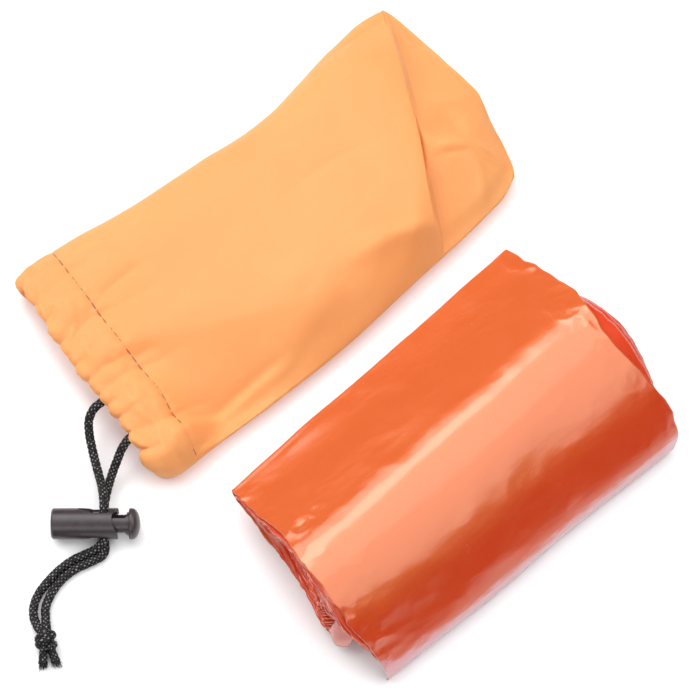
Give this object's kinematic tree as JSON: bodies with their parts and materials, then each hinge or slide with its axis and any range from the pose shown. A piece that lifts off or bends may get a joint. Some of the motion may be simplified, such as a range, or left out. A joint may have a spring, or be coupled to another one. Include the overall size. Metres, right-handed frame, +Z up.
{
  "type": "bivy sack set",
  "caption": "Emergency bivy bag of thin film folded and rolled into a flat pack, lying beside its open drawcord stuff sack with a spring cord lock.",
  "frame": {"origin": "on the ground, below the middle of the box round the stuff sack and the folded bivy", "axes": "+X along the stuff sack from its mouth to its closed end, +Y from the folded bivy to the sack, +Z up"},
  "size_m": [0.2173, 0.1678, 0.0381],
  "materials": {
    "sack_fabric": "thin plain-weave nylon, slight sheen",
    "thread": "polyester sewing thread",
    "drawcord": "braided cord, satin",
    "lock_plastic": "satin moulded plastic",
    "spring_steel": "drawn wire",
    "bivy_film": "thin glossy film, creased",
    "bivy_lining": "metallised inner face of the film"
  },
  "bodies": {
    "stuff_sack": {"sack_body": "sack_fabric", "sack_end_panel": "sack_fabric", "sack_channel": "sack_fabric", "sack_side_seam": "sack_fabric", "sack_end_seam": "sack_fabric", "channel_stitching": "thread", "corner_stitching": "thread", "channel_cord": "drawcord", "loop_strand_far": "drawcord", "loop_strand_near": "drawcord", "tail_strand_outer": "drawcord", "tail_strand_inner": "drawcord", "cord_knot": "drawcord", "cord_ends": "drawcord"},
    "cord_lock": {"lock_barrel": "lock_plastic", "lock_spring": "spring_steel"},
    "plunger": {"lock_plunger": "lock_plastic"},
    "folded_bivy": {"bivy_outer_film": "bivy_film", "bivy_inner_film": "bivy_lining", "bivy_side_welds": "bivy_film", "bivy_foot_weld": "bivy_film"}
  },
  "joints": [
    {"name": "bivy_lift", "type": "slide", "parent": "stuff_sack", "child": "folded_bivy", "axis": [0, 0, 1], "range_m": [0, 0.15]},
    {"name": "lock_slide", "type": "slide", "parent": "stuff_sack", "child": "cord_lock", "axis": [0.682, 0.7314, 0], "range_m": [0, 0.012], "deforming": ["loop_strand_far", "loop_strand_near", "tail_strand_outer", "tail_strand_inner"]},
    {"name": "plunger_press", "type": "slide", "parent": "cord_lock", "child": "plunger", "axis": [-0.7314, 0.682, 0], "range_m": [0, 0.003], "stiffness_N_per_m": 400, "springref_m": -0.003, "deforming": ["lock_spring"]}
  ]
}
